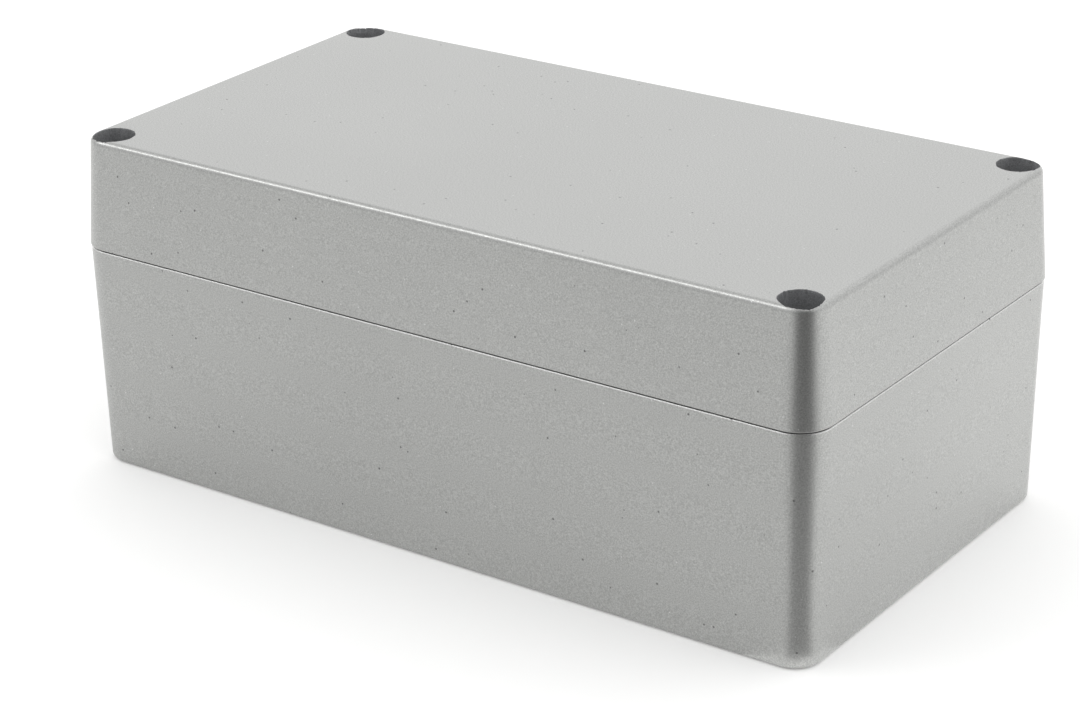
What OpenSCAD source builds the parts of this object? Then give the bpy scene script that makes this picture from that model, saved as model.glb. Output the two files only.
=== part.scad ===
// Sealed die cast aluminium box: two drafted castings that meet on a tongue and groove
// rim, a gasket in the lid, four captive lid screws sunk in wells, four open wells for
// the mounting screws and an earth terminal in each casting. Millimetres. +X runs along
// the long side, +Y to the rear, +Z up, from the centre of the underside.

/* [Box] */
// Overall length, at the lower edge of the lid
box_l = 220; // [200:1:280]
// Overall width, at the lower edge of the lid
box_w = 120; // [112:1:180]
// Overall height of the closed box
box_h = 90; // [88:1:100]
// Height of the base casting, up to its rim
base_h = 60.5; // [55:0.5:62]
// Gap that the closed lid leaves above the base's rim
rim_gap = 0.3; // [0.2:0.05:0.5]
// How far the lid overhangs the base all round
overhang = 0.25; // [0:0.05:0.5]

/* [Castings] */
// Radius of the lid's upright corners, at its lower edge
corner_r = 8.8; // [7:0.1:10]
// Inward draft of the base's sides, from rim to underside
base_draft = 1.4; // [0.6:0.1:2]
// Inward draft of the lid's sides, from lower edge to top
lid_draft = 2; // [1:0.1:2.4]
// Fillet round the top of the lid and the underside of the base
edge_fillet = 1.7; // [1:0.1:2]
// Small radius on the two outer edges where the castings meet
rim_edge_r = 0.4; // [0.2:0.05:0.5]
// Width of the base's rim, from the outside to the cavity
rim_w = 3.8; // [3.6:0.1:4.2]
// Thickness of the floor of the base
floor_t = 3.6; // [3:0.1:5]
// Thickness of the top of the lid
top_t = 3.4; // [3:0.1:5]
// Inward draft of both cavities, from rim to floor or ceiling
core_draft = 1.1; // [0.4:0.1:1.6]
// Fillet between a cavity's sides and its floor or ceiling
core_fillet = 3; // [1.5:0.1:4]
// Radius of the cavities' own corners, at the rim
core_corner_r = 5; // [4.5:0.1:6]
// Radius of the corner blocks where they stand into the cavity
block_r = 6; // [5:0.1:8]

/* [Seal] */
// Distance from the cavity to the middle of the tongue and groove
seal_in = 1.7; // [1.6:0.05:1.8]
// Width of the tongue on the base
tongue_w = 1.2; // [1:0.1:1.4]
// Height of the tongue above the rim
tongue_h = 1.6; // [1.2:0.1:2]
// Width of the groove in the lid, which the gasket fills
groove_w = 1.8; // [1.6:0.1:1.9]
// Depth of the groove in the lid
groove_h = 3; // [2.8:0.1:3.4]

/* [Lid screws] */
// Distance from the lid's lower edge to a screw along the length
screw_in_x = 8.5; // [8:0.1:9]
// Distance from the lid's lower edge to a screw along the width
screw_in_y = 8; // [8:0.1:9]
// Radius of a screw well at the top of the lid
well_r = 5.35; // [5.3:0.05:5.5]
// Radius of a screw well at its floor
well_floor_r = 5.2; // [5.15:0.05:5.3]
// Height of a well's floor, where the head sits, above the lid's lower edge
well_floor_h = 12.2; // [12:0.1:14]
// Thickness of the web under the head
web_t = 3.3; // [3:0.1:4]
// Radius of the clearance hole through the web
clearance_r = 3.3; // [3.2:0.05:3.5]
// Radius of the screw's shank
shank_r = 3; // [2.9:0.05:3]
// Length of the screw below its head
screw_l = 20; // [18:1:22]
// Radius of the screw's head
head_r = 5; // [4.5:0.1:5]
// Height of the screw's head
head_h = 3.9; // [3:0.1:5]
// Width of the slot in the head
slot_w = 1.6; // [1:0.1:2]
// Depth of the slot in the head
slot_d = 2; // [1:0.1:2.4]
// Depth of the tapped hole in the base
tapped_d = 14; // [10:1:20]
// Radial clearance of a screw in its tapped hole
thread_gap = 0.05; // [0.02:0.01:0.1]
// Thickness of a retaining washer
washer_t = 1.2; // [1:0.1:2]
// Outer radius of a retaining washer
washer_r = 4.8; // [4.2:0.1:4.9]

/* [Mounting] */
// Distance from the lid's lower edge to a mounting hole along the length
mount_in_x = 8; // [7.8:0.1:8.2]
// Distance from the lid's lower edge to a mounting hole along the width
mount_in_y = 19; // [18.5:0.1:20]
// Radius of a mounting hole
mount_r = 3.3; // [2.5:0.1:3.5]
// Radius of a mounting well at the rim
mount_well_r = 5.7; // [5.2:0.1:5.8]
// Radius of a mounting well at its floor
mount_floor_r = 5.3; // [4.8:0.1:5.3]
// Height of a mounting well's floor above the underside
mount_floor_h = 6; // [4:0.5:10]
// Distance from the lid's lower edge to a plate boss along the length
boss_in_x = 32; // [30:1:60]
// Distance from the lid's lower edge to a plate boss along the width
boss_in_y = 22; // [18:1:35]
// Height of a plate boss above the floor
boss_h = 5; // [3:0.5:10]
// Radius of a plate boss at its top
boss_r = 4.2; // [3.5:0.1:6]
// Radius of the tapped hole in a plate boss
boss_hole_r = 2; // [1.5:0.1:2.5]

/* [Earth terminals] */
// Distance from the lid's lower edge to the terminals, at the left end
earth_in_x = 22; // [20:1:50]
// Length and width of a terminal's pad
earth_pad_w = 15; // [13:1:18]
// Height of a terminal's pad above the floor or below the ceiling
earth_pad_h = 6; // [5:0.5:10]
// Radius of a terminal screw's shank
earth_shank_r = 2.5; // [2:0.1:2.5]
// Length of a terminal screw below its head
earth_screw_l = 9; // [8:1:10]
// Radius of a terminal screw's head
earth_head_r = 4.5; // [4:0.1:4.5]
// Height of a terminal screw's head
earth_head_h = 3; // [2:0.1:4]
// Width of the slot in a terminal screw's head
earth_slot_w = 1.2; // [0.8:0.1:1.6]
// Depth of the slot in a terminal screw's head
earth_slot_d = 1.5; // [1:0.1:1.8]
// Length and width of the clamp plate
clamp_w = 10.5; // [9.5:0.5:11]
// Thickness of the clamp plate and of its turned-down lips
clamp_t = 1.2; // [0.8:0.1:1.5]
// Height of the lips below the clamp plate
clamp_lip = 1; // [0.5:0.1:1.5]
// Thickness of the spring washer
spring_t = 1.2; // [0.8:0.1:1.5]

/* [Hidden] */
CORNERS = ["front_left", "front_right", "rear_left", "rear_right"];
SIDES = [[-1, -1], [1, -1], [-1, 1], [1, 1]];
$fn = 96;

// Runs a cut past the face it opens on
over = 1;
// Longer than the box, for cuts that take all there is on one side
big = 2 * box_l;
fillet_steps = 6;

lid_low = base_h + rim_gap;
base_half = [box_l / 2 - overhang, box_w / 2 - overhang];
lid_half = [box_l / 2, box_w / 2];
base_corner_r = corner_r - overhang;

// Walls: [low z, high z, inset at low z, inset at high z, fillet at low z, at high z]
base_wall = [0, base_h, base_draft, 0, edge_fillet, rim_edge_r];
lid_wall = [lid_low, box_h, 0, lid_draft, rim_edge_r, edge_fillet];
base_core = [floor_t, base_h + over, core_draft, 0, core_fillet, 0];
lid_core = [lid_low - over, box_h - top_t, 0, core_draft, 0, core_fillet];

screw_at = [box_l / 2 - screw_in_x, box_w / 2 - screw_in_y];
mount_at = [box_l / 2 - mount_in_x, box_w / 2 - mount_in_y];
boss_at = [box_l / 2 - boss_in_x, box_w / 2 - boss_in_y];
well_floor = lid_low + well_floor_h;
web_low = well_floor - web_t;
washer_lift = 0.1;
washer_low = lid_low + washer_lift;
washer_gap = 0.03;
// Countersink at the mouth of each tapped hole for a lid screw
lead_in = 0.4;
// A stop pad rings each screw and carries the closed lid
pad_rim = 1.4;
pad_r = well_floor_r + pad_rim;
// The lid is cored out over each mounting well
lid_core_r = [4.4, 4];
lid_core_back = 1.2;
lid_core_roof = 6;

// The cavity is a cross: its long arm ends short of the side of each mounting well,
// and its wide arm ends short of the wells' inner side
arm_long = base_half - [rim_w, rim_w];
arm_wide = mount_at - [mount_well_r + rim_w, mount_well_r + rim_w];
block_axis = arm_wide + [block_r, block_r];
// More than the insets and fillets of a cavity's wall together
core_reach = core_draft + core_fillet + 2;

earth_x = earth_in_x - box_l / 2;
earth_pad_r = 1.5;
earth_low = floor_t + earth_pad_h;
earth_high = box_h - top_t - earth_pad_h;
spring_gap = 0.15;
spring_edge = 0.1;
spring_split = 0.8;
spring_split_tilt = 25;
boss_flare = 0.6;
head_fillet = 0.6;
tip_chamfer = 0.8;

// ---- Drafted walls -----------------------------------------------------------------

// Half section from an upright axis out to a drafted wall with a fillet at each end.
// r is the wall's distance from the axis where its inset is 0.
module half_section(r, wall) {
    height = wall[1] - wall[0];
    draft = atan2(wall[2] - wall[3], height);
    low_x = r - wall[2] - wall[4] * (1 - sin(draft)) / cos(draft);
    high_x = r - wall[3] - wall[5] * (1 + sin(draft)) / cos(draft);
    polygon(concat([[0, wall[0]]],
        fillet([low_x, wall[0] + wall[4]], wall[4], -90, -draft),
        fillet([high_x, wall[1] - wall[5]], wall[5], -draft, 90),
        [[0, wall[1]]]));
}

// Points round a fillet about c, or the corner itself where r is 0. They are snapped to
// a micrometre, so that the sections of neighbouring walls meet exactly.
function fillet(c, r, from, to) = [for (step = [0:r > 0 ? fillet_steps : 0])
    let (angle = from + (to - from) * step / fillet_steps, p = c + r * [cos(angle), sin(angle)])
    [round(p.x * 1000) / 1000, round(p.y * 1000) / 1000]];

// Section right across, between two such walls whose axes are 2 * axis apart
module full_section(axis, r, wall) {
    for (side = [0, 1]) mirror([side, 0]) translate([axis, 0]) half_section(r, wall);
    translate([-axis, wall[0]]) square([2 * axis, wall[1] - wall[0]]);
}

// Rounded block whose four sides and corners all follow one drafted wall
module drafted_block(half, r, wall) {
    axis = half - [r, r];
    rotate([90, 0, 0]) linear_extrude(2 * axis.y, center = true)
        full_section(axis.x, r, wall);
    rotate([90, 0, 90]) linear_extrude(2 * axis.x, center = true)
        full_section(axis.y, r, wall);
    for (quarter = [0:3]) {
        at = [axis.x * [1, -1, -1, 1][quarter], axis.y * [1, 1, -1, -1][quarter]];
        translate(at) rotate(90 * quarter) rotate_extrude(angle = 90)
            half_section(r, wall);
    }
}

// ---- The cross-shaped cavity -------------------------------------------------------

module box_between(low, high) {
    translate(low) cube(high - low);
}

module in_each_corner() {
    for (side = [[0, 0], [1, 0], [0, 1], [1, 1]])
        mirror([side.x, 0, 0]) mirror([0, side.y, 0]) children();
}

// What is left of the cavity beside a corner block's rounded edge
module round_block_edge(wall) {
    low = [arm_wide.x - core_reach, arm_wide.y - core_reach, wall[0]];
    difference() {
        box_between(low, [block_axis.x, block_axis.y, wall[1]]);
        translate(block_axis) rotate_extrude() difference() {
            translate([0, wall[0] - over])
                square([block_r + core_reach, wall[1] - wall[0] + 2 * over]);
            translate([block_r, 0]) mirror([1, 0]) translate([-core_reach - over, 0])
                half_section(core_reach + over, wall);
        }
    }
}

// Cavity of either casting, which leaves a solid block in each corner
module cavity(wall) {
    inner = arm_wide - [core_reach, core_reach];
    box_between([-block_axis.x, -inner.y, wall[0]], [block_axis.x, inner.y, wall[1]]);
    box_between([-inner.x, -block_axis.y, wall[0]], [inner.x, block_axis.y, wall[1]]);
    in_each_corner() round_block_edge(wall);
    difference() {
        drafted_block([arm_long.x, arm_wide.y], core_corner_r, wall);
        cube([2 * block_axis.x, big, big], center = true);
    }
    difference() {
        drafted_block([arm_wide.x, arm_long.y], core_corner_r, wall);
        cube([big, 2 * block_axis.y, big], center = true);
    }
}

// Outline of the cavity at the rim, moved outwards by out
module rim_outline(out) {
    inner = arm_wide - [core_reach, core_reach];
    rounded_rect([arm_long.x + out, arm_wide.y + out], core_corner_r + out);
    rounded_rect([arm_wide.x + out, arm_long.y + out], core_corner_r + out);
    for (side = SIDES) scale([side.x, side.y]) difference() {
        translate(inner) square(block_axis - inner);
        translate(block_axis) circle(block_r - out);
    }
}

module rounded_rect(half, r) {
    axis = half - [r, r];
    square([2 * axis.x, 2 * half.y], center = true);
    square([2 * half.x, 2 * axis.y], center = true);
    for (side = SIDES) translate([side.x * axis.x, side.y * axis.y]) circle(r);
}

// Upright ring of a given width that follows the rim round the corner blocks
module rim_ring(width, height) {
    linear_extrude(height) difference() {
        rim_outline(seal_in + width / 2);
        rim_outline(seal_in - width / 2);
    }
}

// ---- Castings ----------------------------------------------------------------------

module base() {
    color([0.62, 0.63, 0.64]) difference() {
        union() {
            difference() {
                drafted_block(base_half, base_corner_r, base_wall);
                cavity(base_core);
            }
            translate([0, 0, base_h]) rim_ring(tongue_w, tongue_h);
            at_bosses() plate_boss();
            translate([earth_x, 0, floor_t]) earth_pad();
        }
        for (side = SIDES) {
            translate([side.x * screw_at.x, side.y * screw_at.y, base_h]) tapped_hole();
            translate([side.x * mount_at.x, side.y * mount_at.y, 0]) mounting_well();
        }
        at_bosses() cylinder(h = boss_h + over, r = boss_hole_r);
        translate([earth_x, 0, earth_low - earth_screw_l + clamp_stack()])
            cylinder(h = earth_screw_l, r = earth_shank_r + thread_gap);
    }
}

module at_bosses() {
    for (side = SIDES) translate([side.x * boss_at.x, side.y * boss_at.y, floor_t])
        children();
}

// Tapered boss on the floor for a mounting plate
module plate_boss() {
    cylinder(h = boss_h, r1 = boss_r + boss_flare, r2 = boss_r);
}

// Blind hole for a lid screw, down from z = 0, with a countersunk mouth
module tapped_hole() {
    bore_r = shank_r + thread_gap;
    translate([0, 0, -tapped_d]) cylinder(h = tapped_d + over, r = bore_r);
    translate([0, 0, -lead_in])
        cylinder(h = lead_in + over, r1 = bore_r, r2 = bore_r + lead_in + over);
}

// Well from the rim down to a mounting hole through the floor
module mounting_well() {
    depth = base_h - mount_floor_h;
    taper = (mount_well_r - mount_floor_r) / depth;
    translate([0, 0, mount_floor_h])
        cylinder(h = depth + over, r1 = mount_floor_r, r2 = mount_well_r + taper * over);
    translate([0, 0, -over]) cylinder(h = mount_floor_h + 2 * over, r = mount_r);
}

module lid() {
    color([0.68, 0.69, 0.7]) difference() {
        union() {
            difference() {
                drafted_block(lid_half, corner_r, lid_wall);
                cavity(lid_core);
                translate([0, 0, lid_low - over]) rim_ring(groove_w, groove_h + over);
            }
            for (side = SIDES) translate([side.x * screw_at.x, side.y * screw_at.y, base_h])
                cylinder(h = rim_gap + over, r = pad_r);
            translate([earth_x, 0, box_h - top_t]) mirror([0, 0, 1]) earth_pad();
        }
        for (side = SIDES) {
            translate([side.x * screw_at.x, side.y * screw_at.y, 0]) screw_well();
            translate([side.x * mount_at.x, side.y * (mount_at.y - lid_core_back),
                lid_low - over]) lid_coring();
        }
        translate([earth_x, 0, earth_high - clamp_stack()])
            cylinder(h = earth_screw_l, r = earth_shank_r + thread_gap);
    }
}

// Well for a lid screw: the head's well above the web, the washer's recess below it
module screw_well() {
    depth = box_h - well_floor;
    taper = (well_r - well_floor_r) / depth;
    translate([0, 0, well_floor])
        cylinder(h = depth + over, r1 = well_floor_r, r2 = well_r + taper * over);
    translate([0, 0, base_h - over]) cylinder(h = web_low - base_h + over, r = well_floor_r);
    translate([0, 0, web_low - over]) cylinder(h = web_t + 2 * over, r = clearance_r);
}

// Pocket that keeps the lid's walls even above a mounting well
module lid_coring() {
    height = box_h - lid_core_roof - lid_low + over;
    cylinder(h = height, r1 = lid_core_r[0], r2 = lid_core_r[1]);
}

// ---- Seal and screws ---------------------------------------------------------------

module gasket() {
    low = base_h + tongue_h;
    color([0.13, 0.13, 0.14]) translate([0, 0, low])
        rim_ring(groove_w, lid_low + groove_h - low);
}

// Slotted cheese head screw, point down, with the underside of its head at z = 0
module slotted_screw(shank, length, head, height, slot) {
    color([0.75, 0.75, 0.76]) difference() {
        rotate_extrude() {
            polygon([[0, -length], [shank - tip_chamfer, -length],
                [shank, tip_chamfer - length], [shank, 0], [head, 0],
                [head, height - head_fillet], [head - head_fillet, height],
                [0, height]]);
            intersection() {
                translate([head - head_fillet, height - head_fillet])
                    circle(head_fillet);
                square([head, height]);
            }
        }
        translate([-head - over, -slot[0] / 2, height - slot[1]])
            cube([2 * (head + over), slot[0], slot[1] + over]);
    }
}

module lid_screw(corner) {
    side = SIDES[corner];
    translate([side.x * screw_at.x, side.y * screw_at.y, well_floor])
        slotted_screw(shank_r, screw_l, head_r, head_h, [slot_w, slot_d]);
}

// Plain ring on the shank that keeps the screw in the lid
module retaining_washer(corner) {
    side = SIDES[corner];
    color([0.9, 0.89, 0.85])
        translate([side.x * screw_at.x, side.y * screw_at.y, washer_low])
        ring(washer_r, shank_r + washer_gap, washer_t);
}

module ring(outer, inner, height) {
    difference() {
        cylinder(h = height, r = outer);
        translate([0, 0, -over]) cylinder(h = height + 2 * over, r = inner);
    }
}

// ---- Earth terminals ---------------------------------------------------------------

// Height of the plate, its lips and the spring washer above the pad
function clamp_stack() = clamp_lip + clamp_t + spring_t;

// Square pad with rounded corners that carries a terminal
module earth_pad() {
    linear_extrude(earth_pad_h) rounded_rect([earth_pad_w, earth_pad_w] / 2, earth_pad_r);
}

// Puts a terminal piece on the base's pad, or upside down under the lid's pad
module on_earth_pad(in_lid) {
    translate([earth_x, 0, in_lid ? earth_high : earth_low])
        mirror([0, 0, in_lid ? 1 : 0]) children();
}

module earth_screw(in_lid) {
    on_earth_pad(in_lid) translate([0, 0, clamp_stack()])
        slotted_screw(earth_shank_r, earth_screw_l, earth_head_r, earth_head_h,
            [earth_slot_w, earth_slot_d]);
}

// Split ring, pressed flat by the screw
module earth_spring_washer(in_lid) {
    color([0.7, 0.7, 0.71]) on_earth_pad(in_lid)
        translate([0, 0, clamp_lip + clamp_t]) difference() {
            ring(earth_head_r - spring_edge, earth_shank_r + spring_gap, spring_t);
            rotate([spring_split_tilt, 0, 0])
                translate([0, -spring_split / 2, -spring_t])
                cube([clamp_w, spring_split, 4 * spring_t]);
        }
}

// Square plate whose two turned-down lips trap the wire
module earth_clamp(in_lid) {
    color([0.78, 0.78, 0.76]) on_earth_pad(in_lid) difference() {
        translate([-clamp_w / 2, -clamp_w / 2, 0])
            cube([clamp_w, clamp_w, clamp_lip + clamp_t]);
        translate([-clamp_w / 2 - over, clamp_t - clamp_w / 2, -over])
            cube([clamp_w + 2 * over, clamp_w - 2 * clamp_t, clamp_lip + over]);
        cylinder(h = clamp_w, r = earth_shank_r + spring_gap);
    }
}

base();
lid();
gasket();
for (corner = [0:3]) {
    lid_screw(corner);
    retaining_washer(corner);
}
earth_screw(false);  // base_earth_screw
earth_spring_washer(false);  // base_earth_spring_washer
earth_clamp(false);  // base_earth_clamp
earth_screw(true);  // lid_earth_screw
earth_spring_washer(true);  // lid_earth_spring_washer
earth_clamp(true);  // lid_earth_clamp
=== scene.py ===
"""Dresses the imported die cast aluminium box: painted castings, seal, screws and earth terminals.

Sizes are in metres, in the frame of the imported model: +X along the long side, +Y to the rear,
+Z up, from the centre of the underside. Each sub-assembly is a class that builds its own meshes,
each finish is a frozen dataclass that builds one material.
"""
import logging
import math
from dataclasses import dataclass, field
from enum import Enum
from random import Random
from typing import Callable, Iterable, Sequence

import bmesh
import bpy
from mathutils import Matrix, Vector


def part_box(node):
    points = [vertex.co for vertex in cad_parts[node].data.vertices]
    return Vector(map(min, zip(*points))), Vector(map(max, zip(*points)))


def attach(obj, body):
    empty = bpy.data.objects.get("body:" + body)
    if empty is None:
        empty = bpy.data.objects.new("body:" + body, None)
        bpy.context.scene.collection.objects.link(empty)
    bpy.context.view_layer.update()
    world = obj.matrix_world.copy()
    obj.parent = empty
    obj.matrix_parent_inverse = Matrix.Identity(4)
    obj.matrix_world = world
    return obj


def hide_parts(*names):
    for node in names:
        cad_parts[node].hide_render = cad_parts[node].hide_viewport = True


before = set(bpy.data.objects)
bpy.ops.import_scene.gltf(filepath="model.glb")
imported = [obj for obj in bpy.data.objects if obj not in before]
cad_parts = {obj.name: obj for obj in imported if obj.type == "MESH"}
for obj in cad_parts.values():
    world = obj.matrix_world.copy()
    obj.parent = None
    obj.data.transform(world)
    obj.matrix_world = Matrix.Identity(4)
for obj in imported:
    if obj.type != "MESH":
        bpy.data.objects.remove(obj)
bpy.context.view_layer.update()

LOG = logging.getLogger("die_cast_box")
MM = 0.001

Points = list[tuple[float, float]]
Ring = list[Vector]
Material = bpy.types.Material
Socket = bpy.types.NodeSocket
Solid = bpy.types.Object


# ---- Shape helpers ------------------------------------------------------------------------


@dataclass(frozen=True)
class Wall:
    """A drafted wall seen in section: its ends, how far it stands in there, and its fillets."""

    low: float
    high: float
    inset_low: float
    inset_high: float
    fillet_low: float
    fillet_high: float

    def section(self, steps: int) -> Points:
        """Follow the wall from its low end to its high end.

        Args:
            steps: Number of spans in each fillet.

        Returns:
            Pairs of inset from the outline and height.
        """
        draft = math.atan2(self.inset_low - self.inset_high, self.high - self.low)
        low_x = -self.inset_low - self.fillet_low * (1 - math.sin(draft)) / math.cos(draft)
        high_x = -self.inset_high - self.fillet_high * (1 + math.sin(draft)) / math.cos(draft)
        points = fillet(low_x, self.low + self.fillet_low, self.fillet_low, -math.pi / 2, -draft, steps)
        points += fillet(high_x, self.high - self.fillet_high, self.fillet_high, -draft, math.pi / 2, steps)
        return [(-x, z) for x, z in points]


def fillet(x: float, z: float, r: float, start: float, end: float, steps: int) -> Points:
    """Points round a fillet about (x, z), or that one point where r is 0.

    Args:
        x: Centre, outwards.
        z: Centre, upwards.
        r: Radius.
        start: First angle, in radians.
        end: Last angle, in radians.
        steps: Number of spans.

    Returns:
        Pairs of outward distance and height.
    """
    if r <= 0:
        return [(x, z)]
    angles = [start + (end - start) * i / steps for i in range(steps + 1)]
    return [(x + r * math.cos(a), z + r * math.sin(a)) for a in angles]


def arc(cx: float, cy: float, r: float, start: float, end: float, steps: int) -> Points:
    """Points along an arc in the plan, from one angle in degrees to another."""
    angles = [math.radians(start + (end - start) * i / steps) for i in range(steps + 1)]
    return [(cx + r * math.cos(a), cy + r * math.sin(a)) for a in angles]


def four_fold(quadrant: Points) -> Points:
    """Mirror a run of points in the first quadrant into a closed outline round the origin."""
    back = quadrant[::-1]
    return (
        quadrant
        + [(-x, y) for x, y in back]
        + [(-x, -y) for x, y in quadrant]
        + [(x, -y) for x, y in back]
    )


@dataclass(frozen=True)
class RoundedRect:
    """A rectangle with rounded corners, seen from above."""

    half_x: float
    half_y: float
    r: float
    steps: int = 14

    def points(self, inset: float) -> Points:
        """The outline moved inwards by inset, with the corners' centres kept."""
        cx, cy = self.half_x - self.r, self.half_y - self.r
        return four_fold(arc(cx, cy, self.r - inset, 0, 90, self.steps))


@dataclass(frozen=True)
class CrossOutline:
    """The cavity's outline: a long arm and a wide arm, with a rounded block in each corner."""

    long_x: float
    long_y: float
    wide_x: float
    wide_y: float
    r: float
    block_r: float
    steps: int = 8

    def points(self, inset: float) -> Points:
        """Follow the outline round.

        Args:
            inset: How far the outline is moved inwards, or outwards where it is negative.

        Returns:
            Points in the plan, anticlockwise.
        """
        r, block = self.r - inset, self.block_r + inset
        run = arc(self.long_x - self.r, self.wide_y - self.r, r, 0, 90, self.steps)
        run += arc(self.wide_x + self.block_r, self.wide_y + self.block_r, block, 270, 180, self.steps)
        run += arc(self.wide_x - self.r, self.long_y - self.r, r, 0, 90, self.steps)
        return four_fold(run)


def rings_of(outline: "RoundedRect | CrossOutline", section: Iterable[tuple[float, float]]) -> list[Ring]:
    """Stack an outline at each inset and height of a section."""
    return [[Vector((x, y, z)) for x, y in outline.points(inset)] for inset, z in section]


def turned_rings(section: Sequence[tuple[float, float]], steps: int) -> list[Ring]:
    """Circles about the Z axis at each radius and height of a section."""
    turns = [2 * math.pi * i / steps for i in range(steps)]
    return [[Vector((r * math.cos(a), r * math.sin(a), z)) for a in turns] for r, z in section]


def linked(name: str, data: bpy.types.ID) -> Solid:
    """Put a mesh, a light or a camera in the scene under a name."""
    made = bpy.data.objects.new(name, data)
    bpy.context.scene.collection.objects.link(made)
    return made


def lofted(name: str, rings: Sequence[Ring], closed_path: bool = False) -> Solid:
    """Skin a stack of rings into one closed solid.

    Args:
        name: Name of the new object.
        rings: Rings with equal counts of points, each anticlockwise seen from above.
        closed_path: Join the last ring to the first one, as round a seal, in place of end caps.

    Returns:
        The object, linked to the scene.
    """
    bm = bmesh.new()
    rows = [[bm.verts.new(p) for p in ring] for ring in rings]
    pairs = list(zip(rows, rows[1:]))
    if closed_path:
        pairs.append((rows[-1], rows[0]))
    for low, high in pairs:
        for i in range(len(low)):
            j = (i + 1) % len(low)
            bm.faces.new((low[i], low[j], high[j], high[i]))
    if not closed_path:
        bm.faces.new(rows[0][::-1])
        bm.faces.new(rows[-1])
    bmesh.ops.remove_doubles(bm, verts=bm.verts, dist=1e-7)
    bmesh.ops.recalc_face_normals(bm, faces=bm.faces)
    mesh = bpy.data.meshes.new(name)
    bm.to_mesh(mesh)
    bm.free()
    return linked(name, mesh)


def boxed(name: str, low: Sequence[float], high: Sequence[float]) -> Solid:
    """A plain box between two corners, used only as a cutter or a blank."""
    ring = [(low[0], low[1]), (high[0], low[1]), (high[0], high[1]), (low[0], high[1])]
    return lofted(name, [[Vector((x, y, z)) for x, y in ring] for z in (low[2], high[2])])


class Cut(Enum):
    """How one solid changes another."""

    REMOVE = "DIFFERENCE"
    ADD = "UNION"


def changed(target: Solid, tools: Sequence[Solid], how: Cut) -> Solid:
    """Add solids to a target or cut them from it, and delete them.

    Args:
        target: The solid that changes; its mesh is replaced.
        tools: The solids that are added or cut away.
        how: Which of the two.

    Returns:
        The target.
    """
    for tool in tools:
        modifier = target.modifiers.new(tool.name, "BOOLEAN")
        modifier.operation = how.value
        modifier.solver = "EXACT"
        modifier.material_mode = "TRANSFER"
        modifier.object = tool
    depsgraph = bpy.context.evaluated_depsgraph_get()
    mesh = bpy.data.meshes.new_from_object(target.evaluated_get(depsgraph))
    old = target.data
    target.modifiers.clear()
    target.data = mesh
    bpy.data.meshes.remove(old)
    for tool in tools:
        bpy.data.objects.remove(tool, do_unlink=True)
    return target


def moved(item: Solid, x: float, y: float, z: float) -> Solid:
    """Move an object's mesh, so that the object itself stays at the origin."""
    item.data.transform(Matrix.Translation((x, y, z)))
    return item


def coated(item: Solid, material: Material) -> Solid:
    """Give an object one material, and hand the object back."""
    item.data.materials.clear()
    item.data.materials.append(material)
    return item


def soften(item: Solid, choose: Callable[[bmesh.types.BMEdge], bool], width: float,
           steps: int = 2) -> None:
    """Round the edges that a test picks out.

    Args:
        item: The solid.
        choose: Says whether an edge is rounded.
        width: Width of the rounding.
        steps: Number of spans across it.
    """
    bm = bmesh.new()
    bm.from_mesh(item.data)
    edges = [e for e in bm.edges if len(e.link_faces) == 2 and choose(e)]
    bmesh.ops.bevel(bm, geom=edges, offset=width, segments=steps, profile=0.5, affect="EDGES",
                    clamp_overlap=True)
    bm.to_mesh(item.data)
    bm.free()


def recoat(item: Solid, material: Material,
           choose: Callable[[bpy.types.MeshPolygon], bool]) -> None:
    """Give chosen faces another finish.

    Args:
        item: The mesh.
        material: The other finish.
        choose: Says which faces take it.
    """
    item.data.materials.append(material)
    slot = len(item.data.materials) - 1
    for face in item.data.polygons:
        if choose(face):
            face.material_index = slot


def shade(item: Solid, sharp_deg: float = 34.0) -> None:
    """Shade curved faces smoothly, with crisp edges and flats that stay flat.

    Args:
        item: The solid.
        sharp_deg: Edges that turn by more than this stay sharp.
    """
    bm = bmesh.new()
    bm.from_mesh(item.data)
    bmesh.ops.dissolve_degenerate(bm, dist=1e-7, edges=bm.edges)
    limit = math.radians(sharp_deg)
    for face in bm.faces:
        face.smooth = True
    for edge in bm.edges:
        edge.smooth = len(edge.link_faces) == 2 and edge.calc_face_angle(0.0) < limit
    bm.to_mesh(item.data)
    bm.free()
    weights = item.modifiers.new("flat_faces_lead", "WEIGHTED_NORMAL")
    weights.keep_sharp = True
    weights.weight = 80


# ---- Finishes -----------------------------------------------------------------------------


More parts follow.
